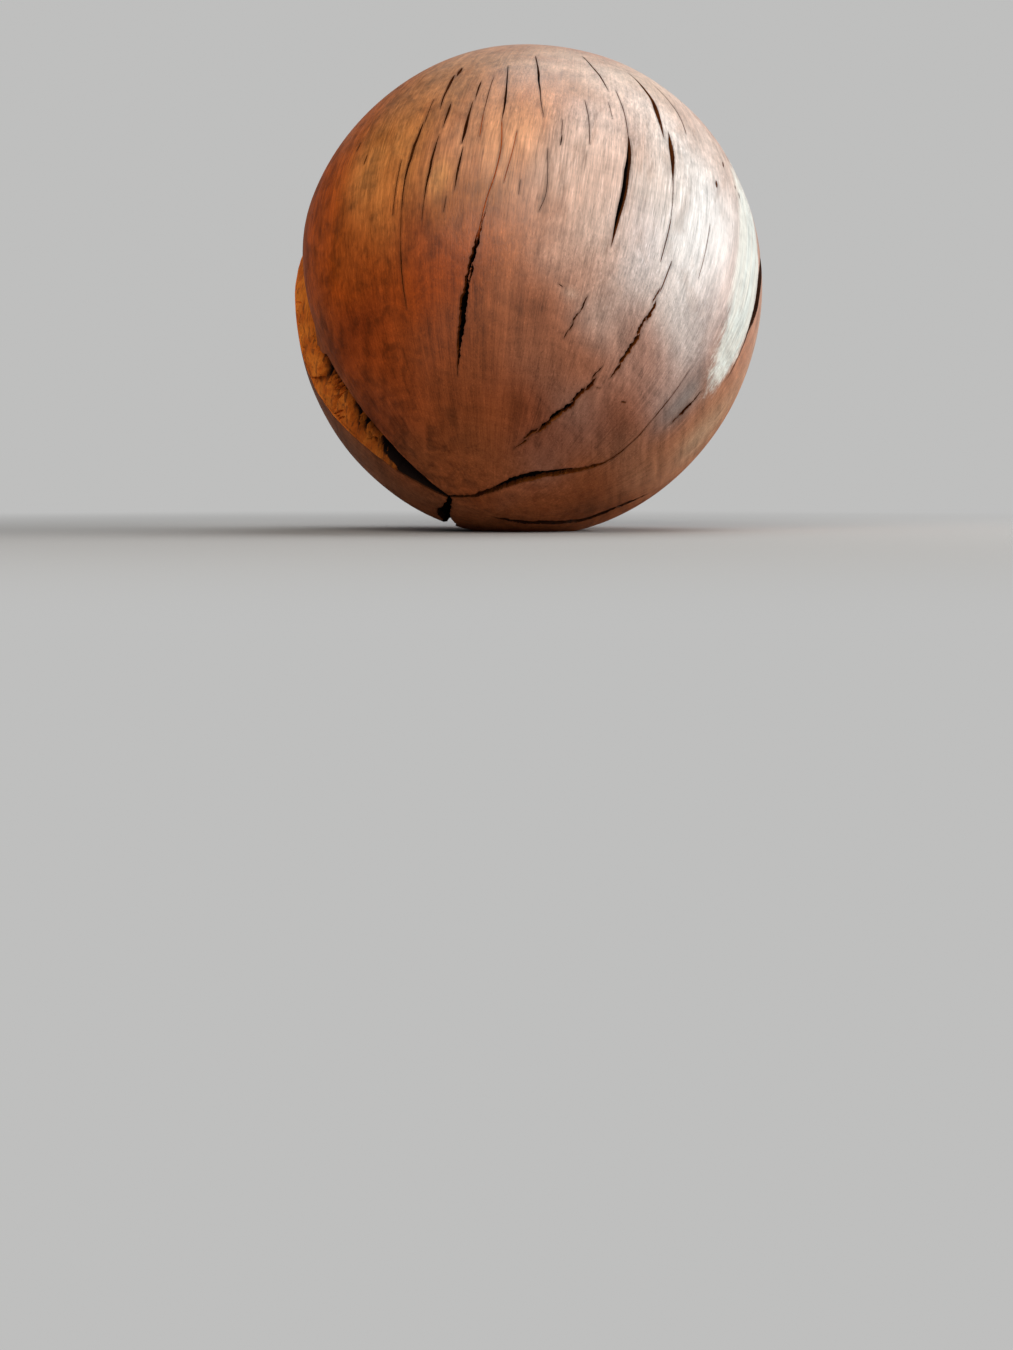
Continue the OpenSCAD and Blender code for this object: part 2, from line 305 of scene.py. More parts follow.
# Broad colours of the sanded wood: (longitude, latitude, reach across and along the grain in
# degrees, colour, strength)
HEARTWOOD = (0.36, 0.12, 0.045)
TONES = [
    # red-brown low down
    (205, -54, 70, 27, (0.27, 0.066, 0.019), 0.92),
    (200, -78, 90, 12, (0.41, 0.115, 0.038), 0.8),
    (262, -54, 22, 10, (0.30, 0.13, 0.068), 0.7),
    # orange flank, darker and redder towards the left and below
    (146, -8, 22, 44, (0.37, 0.056, 0.001), 0.97),
    (131, -8, 9, 30, (0.52, 0.09, 0.012), 0.6),
    (138, -55, 14, 10, (0.36, 0.075, 0.024), 0.5),
    (160, 5, 13, 19, (0.71, 0.27, 0.07), 0.9),
    (172, -28, 17, 16, (0.33, 0.050, 0.001), 0.9),
    (172, 26, 16, 14, (0.44, 0.18, 0.06), 0.8),
    (144, -36, 16, 12, (0.33, 0.055, 0.010), 0.7),
    (180, -22, 9, 12, (0.34, 0.052, 0.001), 0.9),
    (193, -40, 13, 11, (0.32, 0.080, 0.018), 0.6),
    # paler front and top
    (190, 3, 12, 16, (0.98, 0.48, 0.24), 0.82),
    (198, -20, 14, 14, (0.48, 0.128, 0.018), 0.8),
    (192, 38, 40, 14, (0.44, 0.25, 0.14), 0.8),
    # grey-pink half and the greyer band by the sapwood: partly paler wood, partly a painted sheen
    (226, 2, 24, 46, (0.64, 0.52, 0.45), 0.97),
    (209, 2, 9, 16, (0.84, 0.60, 0.49), 0.6),
    (225, -14, 7, 10, (0.70, 0.64, 0.64), 0.6),
    (240, 0, 16, 28, (0.62, 0.62, 0.61), 0.88),
    (249, -20, 7, 16, (0.44, 0.40, 0.38), 0.6),
    (216, 38, 16, 12, (0.45, 0.34, 0.26), 0.7),
    (214, -42, 18, 10, (0.33, 0.11, 0.048), 0.8),
    (257.3, -37.5, 5, 8, (0.20, 0.18, 0.17), 0.9),
    (254, 26, 14, 12, (0.50, 0.42, 0.36), 0.6),
    # warmer brown low on the front
    (238, -52, 14, 9, (0.18, 0.03, 0.001), 0.35),
    (211, -58, 15, 8, (0.23, 0.045, 0.010), 0.5),
    (198, -32, 13, 9, (0.33, 0.080, 0.012), 0.35),
    # behind the edge crack and below it, and the dusty lower lip of the great crack
    (284, -10, 12, 44, (0.42, 0.23, 0.14), 0.8),
    (281, -36, 12, 12, (0.38, 0.25, 0.155), 0.7),
    (284, -67, 14, 9, (0.15, 0.04, 0.012), 0.7),
    (95, -48, 16, 34, (0.30, 0.115, 0.055), 0.85),
    # smudges, mottles and a small knot
    (203, 24, 7, 4, (0.31, 0.15, 0.07), 0.6),
    (195, 37.5, 6, 2.2, (0.27, 0.11, 0.05), 0.5),
    (210, 42.5, 4, 3, (0.30, 0.13, 0.06), 0.45),
    (175, -5, 3.2, 4.5, (0.78, 0.36, 0.12), 0.65),
    (184, -9, 7, 5, (0.30, 0.105, 0.022), 0.6),
    (176, -13, 5, 4, (0.30, 0.09, 0.015), 0.45),
    (200, -8, 1.8, 9, (0.34, 0.17, 0.10), 0.5),
    (149, -33, 6, 4, (0.15, 0.025, 0.006), 0.55),
    (156, 10, 4, 3, (0.33, 0.09, 0.015), 0.5),
    (209.6, -28.4, 1.8, 1.2, (0.62, 0.42, 0.32), 0.6),
]


# ---------------------------------------------------------------- the form of the ball

def turn(axis, angle):
    """Rotation matrix about one of the three axes."""
    c, s = math.cos(angle), math.sin(angle)
    m = np.eye(3)
    i, j = [(1, 2), (2, 0), (0, 1)][axis]
    m[i, i] = m[j, j] = c
    m[i, j], m[j, i] = -s, s
    return m


GRAIN = turn(2, BEARING) @ turn(1, LEAN)


def to_row(points):
    """From millimetres about the grain to metres in the row frame."""
    return (points @ GRAIN.T + CENTRE) * MM


def about_grain(points):
    """From metres in the row frame to millimetres about the grain."""
    return (points / MM - CENTRE) @ GRAIN


def unit(v):
    """Vectors scaled to a length of 1."""
    return v / np.linalg.norm(v, axis=-1, keepdims=True)


def aim(lon, lat):
    """Direction of a place on the ball."""
    lon, lat = np.radians(lon), np.radians(lat)
    return np.stack([np.cos(lat) * np.cos(lon), np.cos(lat) * np.sin(lon), np.sin(lat)], -1)


def places(v):
    """Longitude, 0 to 360, and latitude of directions."""
    lon = np.degrees(np.arctan2(v[:, 1], v[:, 0])) % 360
    return lon, np.degrees(np.arcsin(np.clip(v[:, 2], -1, 1)))


def read(table, at, column=1):
    """A table's value between its rows, whose first column is the place."""
    return np.interp(at, table[:, 0], table[:, column])


def great_at(lat):
    """The great crack's upper and lower lip, share of depth and sinking at latitudes."""
    return [read(GREAT, lat, column) for column in (1, 2, 3, 4)]


def ease(x, a, b):
    """Smooth step from 0 at a to 1 at b."""
    t = np.clip((x - a) / (b - a), 0, 1)
    return t * t * (3 - 2 * t)


def sinking(v):
    """How far the great crack's upper lip rolls in, for directions v."""
    lon, lat = places(v)
    up, low, _, sink = great_at(lat)
    away = (lon - up) * math.pi / 180 * BALL_R * np.cos(np.radians(lat))
    fall = np.clip(1 - away / LIP_ROLL, 0, 1) ** 2
    return sink * fall * (lon > (up + low) / 2)


def oval_radius(v):
    """Distance of the sanded surface from the middle, before the great crack's lip rolled in."""
    r = 1 / np.linalg.norm(v / [BALL_R, BALL_R, POLE_R], axis=1) - SKIN_INSET
    for direction, spread, depth in DIPS:
        centre = unit(np.array(direction)) @ GRAIN
        angle = np.degrees(np.arccos(np.clip(v @ centre, -1, 1)))
        r -= depth * np.exp(-((angle / spread) ** 2))
    for k, wave in enumerate(RIPPLE_WAVES):
        r += RIPPLE * np.sin(v @ np.array(wave) + k)
    return r


def skin_radius(v):
    """Distance of the sanded surface from the middle."""
    return oval_radius(v) - sinking(v)


# ---------------------------------------------------------------- cutters that open the cracks

def wander(rng, s, gap, amount):
    """Smooth random offsets along distances s, with a new value every gap."""
    knots = np.arange(0, s[-1] + 2 * gap, gap)
    return amount * np.interp(s, knots, rng.uniform(-1, 1, len(knots)))


def on_ball(points):
    """Rows of [x, y, z, share] from points as [longitude, latitude, share]."""
    return [[*aim(lon, lat), share] for lon, lat, share in points]


def curve(rows):
    """A smooth curve through rows of [x, y, z, share], with a row every RING_STEP."""
    rows = np.array(rows, float)
    ends = np.vstack([2 * rows[0] - rows[1], rows, 2 * rows[-1] - rows[-2]])
    out = []
    for a, b, c, d in zip(ends, ends[1:], ends[2:], ends[3:]):
        steps = max(2, round(np.linalg.norm((c - b)[:3]) * BALL_R / RING_STEP))
        t = np.arange(steps)[:, None] / steps
        out.append(0.5 * (2 * b + (c - a) * t + (2 * a - 5 * b + 4 * c - d) * t**2
                          + (3 * b - a - 3 * c + d) * t**3))
    out = np.vstack(out + [rows[-1:]])
    out[:, :3] = unit(out[:, :3])
    out[:, 3] = np.maximum(out[:, 3], 0.02)
    return out


def tube_faces(count, n):
    """Faces of a closed tube of count rings of n points."""
    i, k = np.meshgrid(np.arange(count - 1), np.arange(n), indexing="ij")
    a, b = i * n + k, i * n + (k + 1) % n
    quads = np.stack([a, b, b + n, a + n], -1).reshape(-1, 4).tolist()
    ends = [list(range(n))[::-1], list(range((count - 1) * n, count * n))]
    return quads + ends


def crack_cutter(path, full_w, full_depth, uneven, seed, levels=WALL_LEVELS):
    """Wedge along a crack: each ring goes down one wall and up the other."""
    rng = np.random.default_rng(seed)
    rows = curve(path)
    v, share = rows[:, :3], rows[:, 3]
    s = np.concatenate([[0], np.cumsum(np.linalg.norm(np.diff(v, axis=0), axis=1))]) * BALL_R
    along = np.gradient(v, axis=0)
    side = unit(np.cross(v, along))
    # it narrows over its last 4 mm, and its unevenness dies away where it is under 2.5 mm wide;
    # where it is narrow it is also shallower
    width = full_w * share * np.clip(np.minimum(s, s[-1] - s) / 4, 0.15, 1) ** 0.5
    deep = full_depth * (0.2 + 0.8 * share)
    loose = np.minimum(1, width / 2.5)
    swing = wander(rng, s, 14, 0.35 + 0.5 * uneven) * loose
    columns = []
    for wall in (-1, 1):
        ragged = wander(rng, s, 9, 0.6 * uneven) + wander(rng, s, 3.5, 0.5 * uneven)
        if uneven >= RAGGED:
            ragged += wander(rng, s, 1.8, 0.9)
        for level in levels if wall < 0 else levels[::-1]:
            inner = max(level, 0)
            taper = (1 - inner) ** 0.8 * 0.94 + 0.06
            fibres = wander(rng, s, 5, 0.5 * uneven) * min(1, inner * 8) * (1 - inner)
            across = wall * (width / 2 * taper) + swing + (ragged * (1 - inner) + fibres) * loose
            radius = skin_radius(v) - (level if level < 0 else level * deep)
            columns.append(v * radius[:, None] + side * across[:, None])
    return np.stack(columns, 1).reshape(-1, 3), tube_faces(len(v), len(columns))


def blocks(rng, s, t, long, wide, amount):
    """Heights of torn blocks, long by wide, on a wall's grid of s by t."""
    cols = np.floor(s / long + wander(rng, s, long * 3, 0.4)).astype(int)
    cols -= cols.min()
    shift = rng.uniform(0, 1, cols.max() + 1)[cols]
    rows = np.floor(t[None] / wide + shift[:, None]).astype(int)
    table = rng.uniform(-1, 1, (cols.max() + 1, rows.max() + 1))
    return amount * table[cols[:, None], rows]


def shelf_drop(lat, t, deep):
    """Depth of the great crack's torn shelf below the skin, a share t of the way across."""
    return SHELF_SLOPE * deep * t * ease(lat, -66, -63)


def torn_wall(rng, lat, s, t, deep):
    """Depth of the great crack's lower wall below the skin, from its lip at t = 0 to t = 1."""
    lat, deep, t = lat[:, None], deep[:, None], t[None]
    shelf = shelf_drop(lat, t, deep)
    start = read(SHELF, lat, 1) + wander(rng, s, 5, 0.02)[:, None] + wander(rng, s, 2, 0.012)[:, None]
    hole = np.minimum(read(SHELF, lat, 2), deep) * ease(t, start, start + 0.05)
    for at, first, last, slope, half in SPLINTERS:
        off = np.abs(lat - at - slope * (t - first)) / half
        inside = (t > first - 0.02) & (t < last) & (off < 1)
        hole = np.where(inside, np.minimum(hole, 1.5 + 3 * off), hole)
    drop = shelf + hole + blocks(rng, s, t[0], 21, 0.34, 0.5) + blocks(rng, s, t[0], 9, 0.17, 0.35)
    # the ledge where the smooth facet ends, and a split further down, both 8 mm deep
    past = read(LEDGE, t) - lat
    drop += 8 * ease(past, 0, 0.5) * (1 - ease(past, 0.6, 5)) * (1 - ease(t, 0.3, 0.7))
    drop += 8 * np.exp(-(((lat - read(SPLIT, t)) / 0.35) ** 2)) * ease(t, 0.03, 0.1)
    for at in LIP_SLITS:
        reach = rng.uniform(0.08, 0.3)
        slit = np.exp(-(((lat - at + 5 * t) / rng.uniform(0.2, 0.35)) ** 2))
        drop += 4 * slit * (1 - ease(t, 0.6 * reach, reach))
    fibre = np.stack([wander(rng, s, 9, 0.4) for _ in t[0]], 1)
    return drop + fibre


def great_cutter():
    """Body that opens the great crack: down its torn lower wall and up its undercut upper one."""
    rng = np.random.default_rng(SEEDS["great"])
    lat = np.linspace(GREAT[0, 0], GREAT[-1, 0], GREAT_ROWS)
    up, low, share, _ = great_at(lat)
    v_up, v_low = aim(up, lat), aim(low, lat)
    s = np.radians(lat - lat[0]) * BALL_R
    gap = np.linalg.norm(v_up - v_low, axis=1) * BALL_R
    # unevenness dies away as the gap closes: in the walls below 18 mm, at the lips below 8 mm
    loose = np.minimum(1, gap / 18)
    loose_lip = np.minimum(1, gap / 8)
    deep = share * GREAT_DEPTH + NOTCH_POCKET * ease(-lat, 50, 60) * ease(lat, -79, -72)
    r_low = oval_radius(v_low)
    r_up = skin_radius(v_up)
    # the lower wall is torn between its two edges, and at least 0.9 mm below the skin
    t = np.linspace(0, 1, 40)
    edge = ease(t, 0, 0.05)[None] * (1 - ease(t, 0.96, 1))[None]
    straight = deep[:, None] * t[None]
    drop = torn_wall(rng, lat, s, t, deep) * loose[:, None] + straight * (1 - loose[:, None])
    drop = np.clip(drop * edge + straight * (1 - edge), 0.9, deep[:, None] + 12)
    worn = ease(-lat, 44, 50)
    lip_low = (wander(rng, s, 6, 1.1) + wander(rng, s, 2.6, 0.5)) * loose_lip * (1 - 0.8 * worn)
    torn = np.exp(-(((lat + 40) / 8) ** 2))
    lip_up = wander(rng, s, 22, 0.8) + wander(rng, s, 6, 0.25) + wander(rng, s, 2.2, 1.1) * torn
    lip_up *= loose_lip
    lobes = read(LOBES, lat)
    side = unit(v_up - v_low)
    stand_out = 14
    columns = [v_low * (r_low + stand_out)[:, None] + side * lip_low[:, None]]
    for k, across in enumerate(t):
        v = unit(v_low * (1 - across) + v_up * across)
        radius = r_low * (1 - across) + (r_up + 10) * across - drop[:, k]
        columns.append(v * radius[:, None] + side * (lip_low * (1 - across))[:, None])
    bottom = np.linalg.norm(columns[-1], axis=1)
    for rise in np.linspace(0.08, 1, 9):
        radius = bottom * (1 - rise) + r_up * rise
        undercut = (4.5 * np.sin(rise * math.pi) + wander(rng, s, 7, 0.8)) * loose
        out = undercut + lip_up * rise - lobes * rise**4
        columns.append(v_up * radius[:, None] + side * out[:, None])
    columns.append(v_up * (r_up + stand_out)[:, None] + side * (lip_up - lobes)[:, None])
    return np.stack(columns, 1).reshape(-1, 3), tube_faces(len(lat), len(columns))


def strands(path, count, spread, seed):
    """Splits a torn check into overlapping strands that lie a little beside each other."""
    rng = np.random.default_rng(seed)
    rows = curve(path)
    last = len(rows) - 1
    side = unit(np.cross(rows[:, :3], np.gradient(rows[:, :3], axis=0)))
    out = []
    # a strand runs on beside its neighbours by up to a quarter of its length, and narrows there
    for k in range(count):
        a = max(0, (k - 0.25 * rng.uniform(0.5, 1)) / count)
        b = min(1, (k + 1 + 0.25 * rng.uniform(0.5, 1)) / count)
        part = rows[round(a * last):round(b * last) + 1].copy()
        shift = spread * (k % 2 - 0.5) * rng.uniform(0.6, 1.2) / BALL_R
        part[:, :3] += side[round(a * last):round(b * last) + 1] * shift
        t = np.linspace(0, 1, len(part))
        part[:, 3] *= np.clip(np.minimum(t, 1 - t) * 5, 0.12, 1)
        out.append(part[:: max(1, len(part) // 12)])
    return out


def hairline(points, width, depth, seed):
    """Thin split, with few points down its walls, since little of them is seen."""
    path = on_ball([lon, lat, 1] for lon, lat in points)
    return crack_cutter(path, width, depth, HAIR_UNEVEN, seed, HAIR_LEVELS)


def small_cutters():
    """Cutters of the checks, torn checks, hairlines and scars."""
    small = [crack_cutter(on_ball(points), CHECK_W, CHECK_DEPTH, RAGGED * share, seed)
             for seed, (share, points) in enumerate(CHECKS, SEEDS["checks"])]
    for i, (count, spread, points) in enumerate(TORN):
        path = on_ball(points)
        parts = strands(path, count, spread, SEEDS["strands"] + i) if count > 1 else [path]
        small += [crack_cutter(part, CHECK_W, CHECK_DEPTH, RAGGED, seed)
                  for seed, part in enumerate(parts, SEEDS["torn"] + 10 * i)]
    small += [hairline(points, width, HAIR_DEPTH + HAIR_DEEPER * width, seed)
              for seed, (width, points) in enumerate(HAIRS, SEEDS["hairs"])]
    small += [hairline(points, width, SCAR_DEPTH, seed)
              for seed, (width, points) in enumerate(SCARS, SEEDS["scars"])]
    return small


def grouped(cutters):
    """Groups of cutters that don't touch each other, so that each group is cut in one go."""
    groups = []
    for cutter in cutters:
        low, high = cutter[0].min(0) - 0.5, cutter[0].max(0) + 0.5
        for group in groups:
            if all((low > top).any() or (high < bottom).any() for bottom, top, _ in group):
                break
        else:
            group = []
            groups.append(group)
        group.append((low, high, cutter))
    return [[cutter for _, _, cutter in group] for group in groups]


def all_cutters():
    """Groups of cutters, the largest first."""
    return [
        [great_cutter()],
        [crack_cutter(on_ball(NOTCH), NOTCH_W, NOTCH_DEPTH, RAGGED, SEEDS["notch"])],
        [crack_cutter(on_ball(STEP), STEP_W, STEP_DEPTH, RAGGED, SEEDS["step"])],
        [crack_cutter(on_ball(EDGE), EDGE_W, EDGE_DEPTH, RAGGED * 0.5, SEEDS["edge"])],
    ] + grouped(small_cutters())


def joined(cutters):
    """One set of points and faces from several."""
    first, verts, faces = 0, [], []
    for points, sides in cutters:
        verts.append(points)
        faces += [[first + i for i in side] for side in sides]
        first += len(points)
    return np.vstack(verts), faces


# ---------------------------------------------------------------- making the mesh

SKIN_SUBDIVISIONS = 6
FINER_WITHIN = (12.5, 6)  # distances in mm from a crack at which the skin's edges are halved again


def add_object(name, data):
    obj = bpy.data.objects.new(name, data)
    bpy.context.scene.collection.objects.link(obj)
    return obj


def cutter_object(name, verts, faces):
    """Closed body of triangles that face outwards."""
    mesh = bpy.data.meshes.new(name)
    mesh.from_pydata(to_row(verts).tolist(), [], faces)
    mesh.validate()
    bm = bmesh.new()
    bm.from_mesh(mesh)
    bmesh.ops.triangulate(bm, faces=bm.faces)
    bmesh.ops.recalc_face_normals(bm, faces=bm.faces)
    bm.to_mesh(mesh)
    bm.free()
    return add_object(name, mesh)


def sanded_skin(name, cutters):
    """The closed ball without its cracks, finer where a crack runs."""
    tree = KDTree(sum(len(verts) for group in cutters for verts, _ in group))
    for group in cutters:
        for verts, _ in group:
            for p in unit(verts):
                tree.insert(p * BALL_R, 0)
    tree.balance()
    bm = bmesh.new()
    bmesh.ops.create_icosphere(bm, subdivisions=SKIN_SUBDIVISIONS, radius=BALL_R)
    for near in FINER_WITHIN:
        edges = [e for e in bm.edges
                 if tree.find((e.verts[0].co + e.verts[1].co).normalized() * BALL_R)[2] < near]
        bmesh.ops.subdivide_edges(bm, edges=edges, cuts=1, use_grid_fill=True)
        bmesh.ops.triangulate(bm, faces=bm.faces)
    v = unit(np.array([p.co for p in bm.verts]))
    points = to_row(v * skin_radius(v)[:, None])
    for vert, p in zip(bm.verts, points):
        vert.co = p
    mesh = bpy.data.meshes.new(name)
    bm.to_mesh(mesh)
    bm.free()
    return add_object(name, mesh)


def subtract(obj, cutter):
    """Cuts a closed body out of an object for good."""
    mod = obj.modifiers.new("cut", "BOOLEAN")
    mod.operation = "DIFFERENCE"
    mod.solver = "MANIFOLD"
    mod.object = cutter
    depsgraph = bpy.context.evaluated_depsgraph_get()
    cut = bpy.data.meshes.new_from_object(obj.evaluated_get(depsgraph))
    obj.modifiers.remove(mod)
    old = obj.data
    obj.data = cut
    bpy.data.meshes.remove(old)
    bpy.data.objects.remove(cutter)


def floor_cutter():
    """Block below the flat, in the grain's axes."""
    size = 300.0
    corners = np.array([[x, y, z] for z in (-size, 0) for y in (-size, size) for x in (-size, size)])
    faces = [[0, 2, 3, 1], [4, 5, 7, 6], [0, 1, 5, 4], [2, 6, 7, 3], [0, 4, 6, 2], [1, 3, 7, 5]]
    return (corners - CENTRE) @ GRAIN, faces


def wooden_ball():
    """The sanded ball with its flat and its cracks cut out."""
    cutters = all_cutters()
    ball = sanded_skin("wooden_ball", cutters)
    for i, group in enumerate([[floor_cutter()]] + cutters):
        subtract(ball, cutter_object(f"tool_{i}", *joined(group)))
    return ball


# ---------------------------------------------------------------- where the wood changes

# A face is in a crack if it is further than the first from the skin, and higher than the second
SKIN_TOLERANCE = 0.2
FLAT_TOLERANCE = 0.02
RIM_DEPTH = 4  # faces of a crack that are nearer the skin are its rim
# the walls of the cracks carry painted shade that grows with depth
PLAIN_DARK_AT = 6.0  # depth at which a crack is dark, away from the great one
SHARP_ANGLE = math.radians(38)
# Pale strip of sapwood: longitude of its left edge high up, how far that shifts for each degree
# downwards, how wide it fades in, and the longitudes between which it fades out
SAP_FROM = 251
SAP_LEAN = 0.16
SAP_FADE_IN = 7
SAP_FADE_OUT = (266, 271.5)


def tones(v):
    """Broad colour of the sanded wood in directions v. Two waves bend the edges of its fields."""
    lon, lat = places(v)
    wave = np.sin(v @ np.array([7, 15, 4]) + 1) + np.sin(v @ np.array([-18, 9, 11])) * 0.6
    swell = np.sin(v @ np.array([14, -6, 9])) + np.sin(v @ np.array([5, 21, -13]) + 2) * 0.6
    colour = np.tile(np.array(HEARTWOOD), (len(v), 1))
    for lon0, lat0, across, along, tint, strength in TONES:
        x = ((lon - lon0 + 180) % 360 - 180) * np.cos(np.radians(np.clip(lat0, -60, 60)))
        away = np.hypot(x / across + 0.14 * wave, (lat - lat0) / along + 0.14 * swell)
        colour += (strength * np.exp(-(away**2)))[:, None] * (np.array(tint) - colour)
    return colour


def sapwood(v):
    """1 in the middle of the pale strip along the edge crack, 0 away from it."""
    lon, lat = places(v)
    inner = (lon - SAP_FROM - SAP_LEAN * np.clip(-lat - 2, 0, 60)) / SAP_FADE_IN
    ends = ease(lat, -42, -15) * ease(-lat, -60, 6)
    return np.clip(inner, 0, 1) * (1 - ease(lon, *SAP_FADE_OUT)) * ends


def coordinates(items, field):
    """Places in the row frame, in metres, of all points or faces of a mesh."""
    flat = np.empty(len(items) * 3)
    items.foreach_get(field, flat)
    return flat.reshape(-1, 3)


def near_crack(points, rims):
    """Distance in mm from each point to the nearest of the rims."""
    tree = KDTree(len(rims))
    for i, rim in enumerate(rims):
        tree.insert(rim, i)
    tree.balance()
    return np.array([tree.find(p)[2] for p in points]) / MM


def crack_shade(v, radius, height):
    """Least painted shade in a crack, and depth as a share of the depth at which that shade is full."""
    lon, lat = places(v)
    up, low, share, _ = great_at(lat)
    great = (lon > low - 3) & (lon < up + 4) & (lat > -80) & (lat < 30)
    shelf = shelf_drop(lat, np.clip((lon - low) / (up - low), 0, 1), GREAT_DEPTH * share)
    below = skin_radius(v) - radius - shelf * great
    # more painted shade in cracks low down and behind the edge, and a little more in the upper half
    more_shade = np.max([1 - ease(height, 20, 60), ease(lon, 260, 264), 0.5 * ease(lat, -20, 0)], 0)
    shade = np.where(great, read(SHELF, lat, 4), 0.66 + 0.28 * more_shade)
    dark_at = np.where(great, read(SHELF, lat, 3), PLAIN_DARK_AT)
    for _, points in SCARS:
        lons, lats = np.array(points[::-1]).T
        beside = np.abs(lon - np.interp(lat, lats, lons))
        pale = (beside < SCAR_REACH) & (lat > lats[0]) & (lat < lats[-1])
        shade[pale], dark_at[pale] = 0, 50
    return shade, below / dark_at


def skin_shares(v, height):
    """Shares of dust, of cloudy mottling and of curly grain on the sanded skin."""
    lon, lat = places(v)
    up, low, _, _ = great_at(lat)
    # what depends on the longitude fades out before the meridians meet at the grain's pole
    off_pole = 1 - ease(lat, 25, 72)
    flank = 0.85 * off_pole * (1 - ease(lon, 150, 195)) * ease(lon, 10, 90)
    sector = off_pole * (lon < (up + low) / 2) * ease(lon, 20, 60)
    dust = np.max([1 - ease(height, 60, 250), sector, flank], 0)
    cloudy = off_pole * (1 - ease(lon, 150, 205)) * ease(lon, 85, 130)
    curly = ease(-lat, 12, 40) * (1 - ease(-lat, 60, 75))
    return dust, cloudy, curly


def dress(ball, skin_material, crack_material):
    """Sets each face's finish, and gives each point what the two finishes read there."""
    mesh = ball.data
    mesh.materials.clear()
    mesh.materials.append(skin_material)
    mesh.materials.append(crack_material)
    middles = coordinates(mesh.polygons, "center")
    at = about_grain(middles)
    off = np.abs(skin_radius(unit(at)) - np.linalg.norm(at, axis=1))
    in_crack = (off > SKIN_TOLERANCE) & (middles[:, 2] > FLAT_TOLERANCE * MM)
    mesh.polygons.foreach_set("material_index", in_crack.astype(np.int32))
    points = coordinates(mesh.vertices, "co")
    height = points[:, 2] / MM
    local = about_grain(points)
    v = unit(local)
    shade, dark = crack_shade(v, np.linalg.norm(local, axis=1), height)
    dust, cloudy, curly = skin_shares(v, height)
    near = near_crack(points, middles[in_crack & (off < RIM_DEPTH)])
    for name, values in (("shade", shade), ("dark", dark), ("near", near), ("sap", sapwood(v)),
                         ("dust", dust), ("cloudy", cloudy), ("curly", curly)):
        mesh.attributes.new(name, "FLOAT", "POINT").data.foreach_set("value", values.astype(np.float32))
    tone = np.hstack([tones(v), np.ones((len(v), 1))]).astype(np.float32)
    mesh.attributes.new("tone", "FLOAT_COLOR", "POINT").data.foreach_set("color", tone.ravel())
    mesh.polygons.foreach_set("use_smooth", np.ones(len(mesh.polygons), bool))
    mesh.set_sharp_from_angle(angle=SHARP_ANGLE)
    mesh.update()


# ---------------------------------------------------------------- the wood

CREAM = (0.61, 0.65, 0.61)
CREAM_STREAK = (0.54, 0.54, 0.49)
# darkens the skin within a few mm of the cracks
CRACK_EDGE_DARK = (0.05, 0.018, 0.008)
TORN_TAN = (0.78, 0.215, 0.024)
TORN_RUST = (0.56, 0.12, 0.011)
TORN_STREAK = (0.17, 0.05, 0.012)
# near-black painted shade deep in the cracks
CRACK_PAINTED_SHADE = (0.008, 0.003, 0.002)
MERIDIAN_LENGTH = 45  # how far the fine lines from pole to pole keep their shade, in mm
RINGS_AT = (-20.0, 30.0)  # middle of the growth rings, in mm across the grain


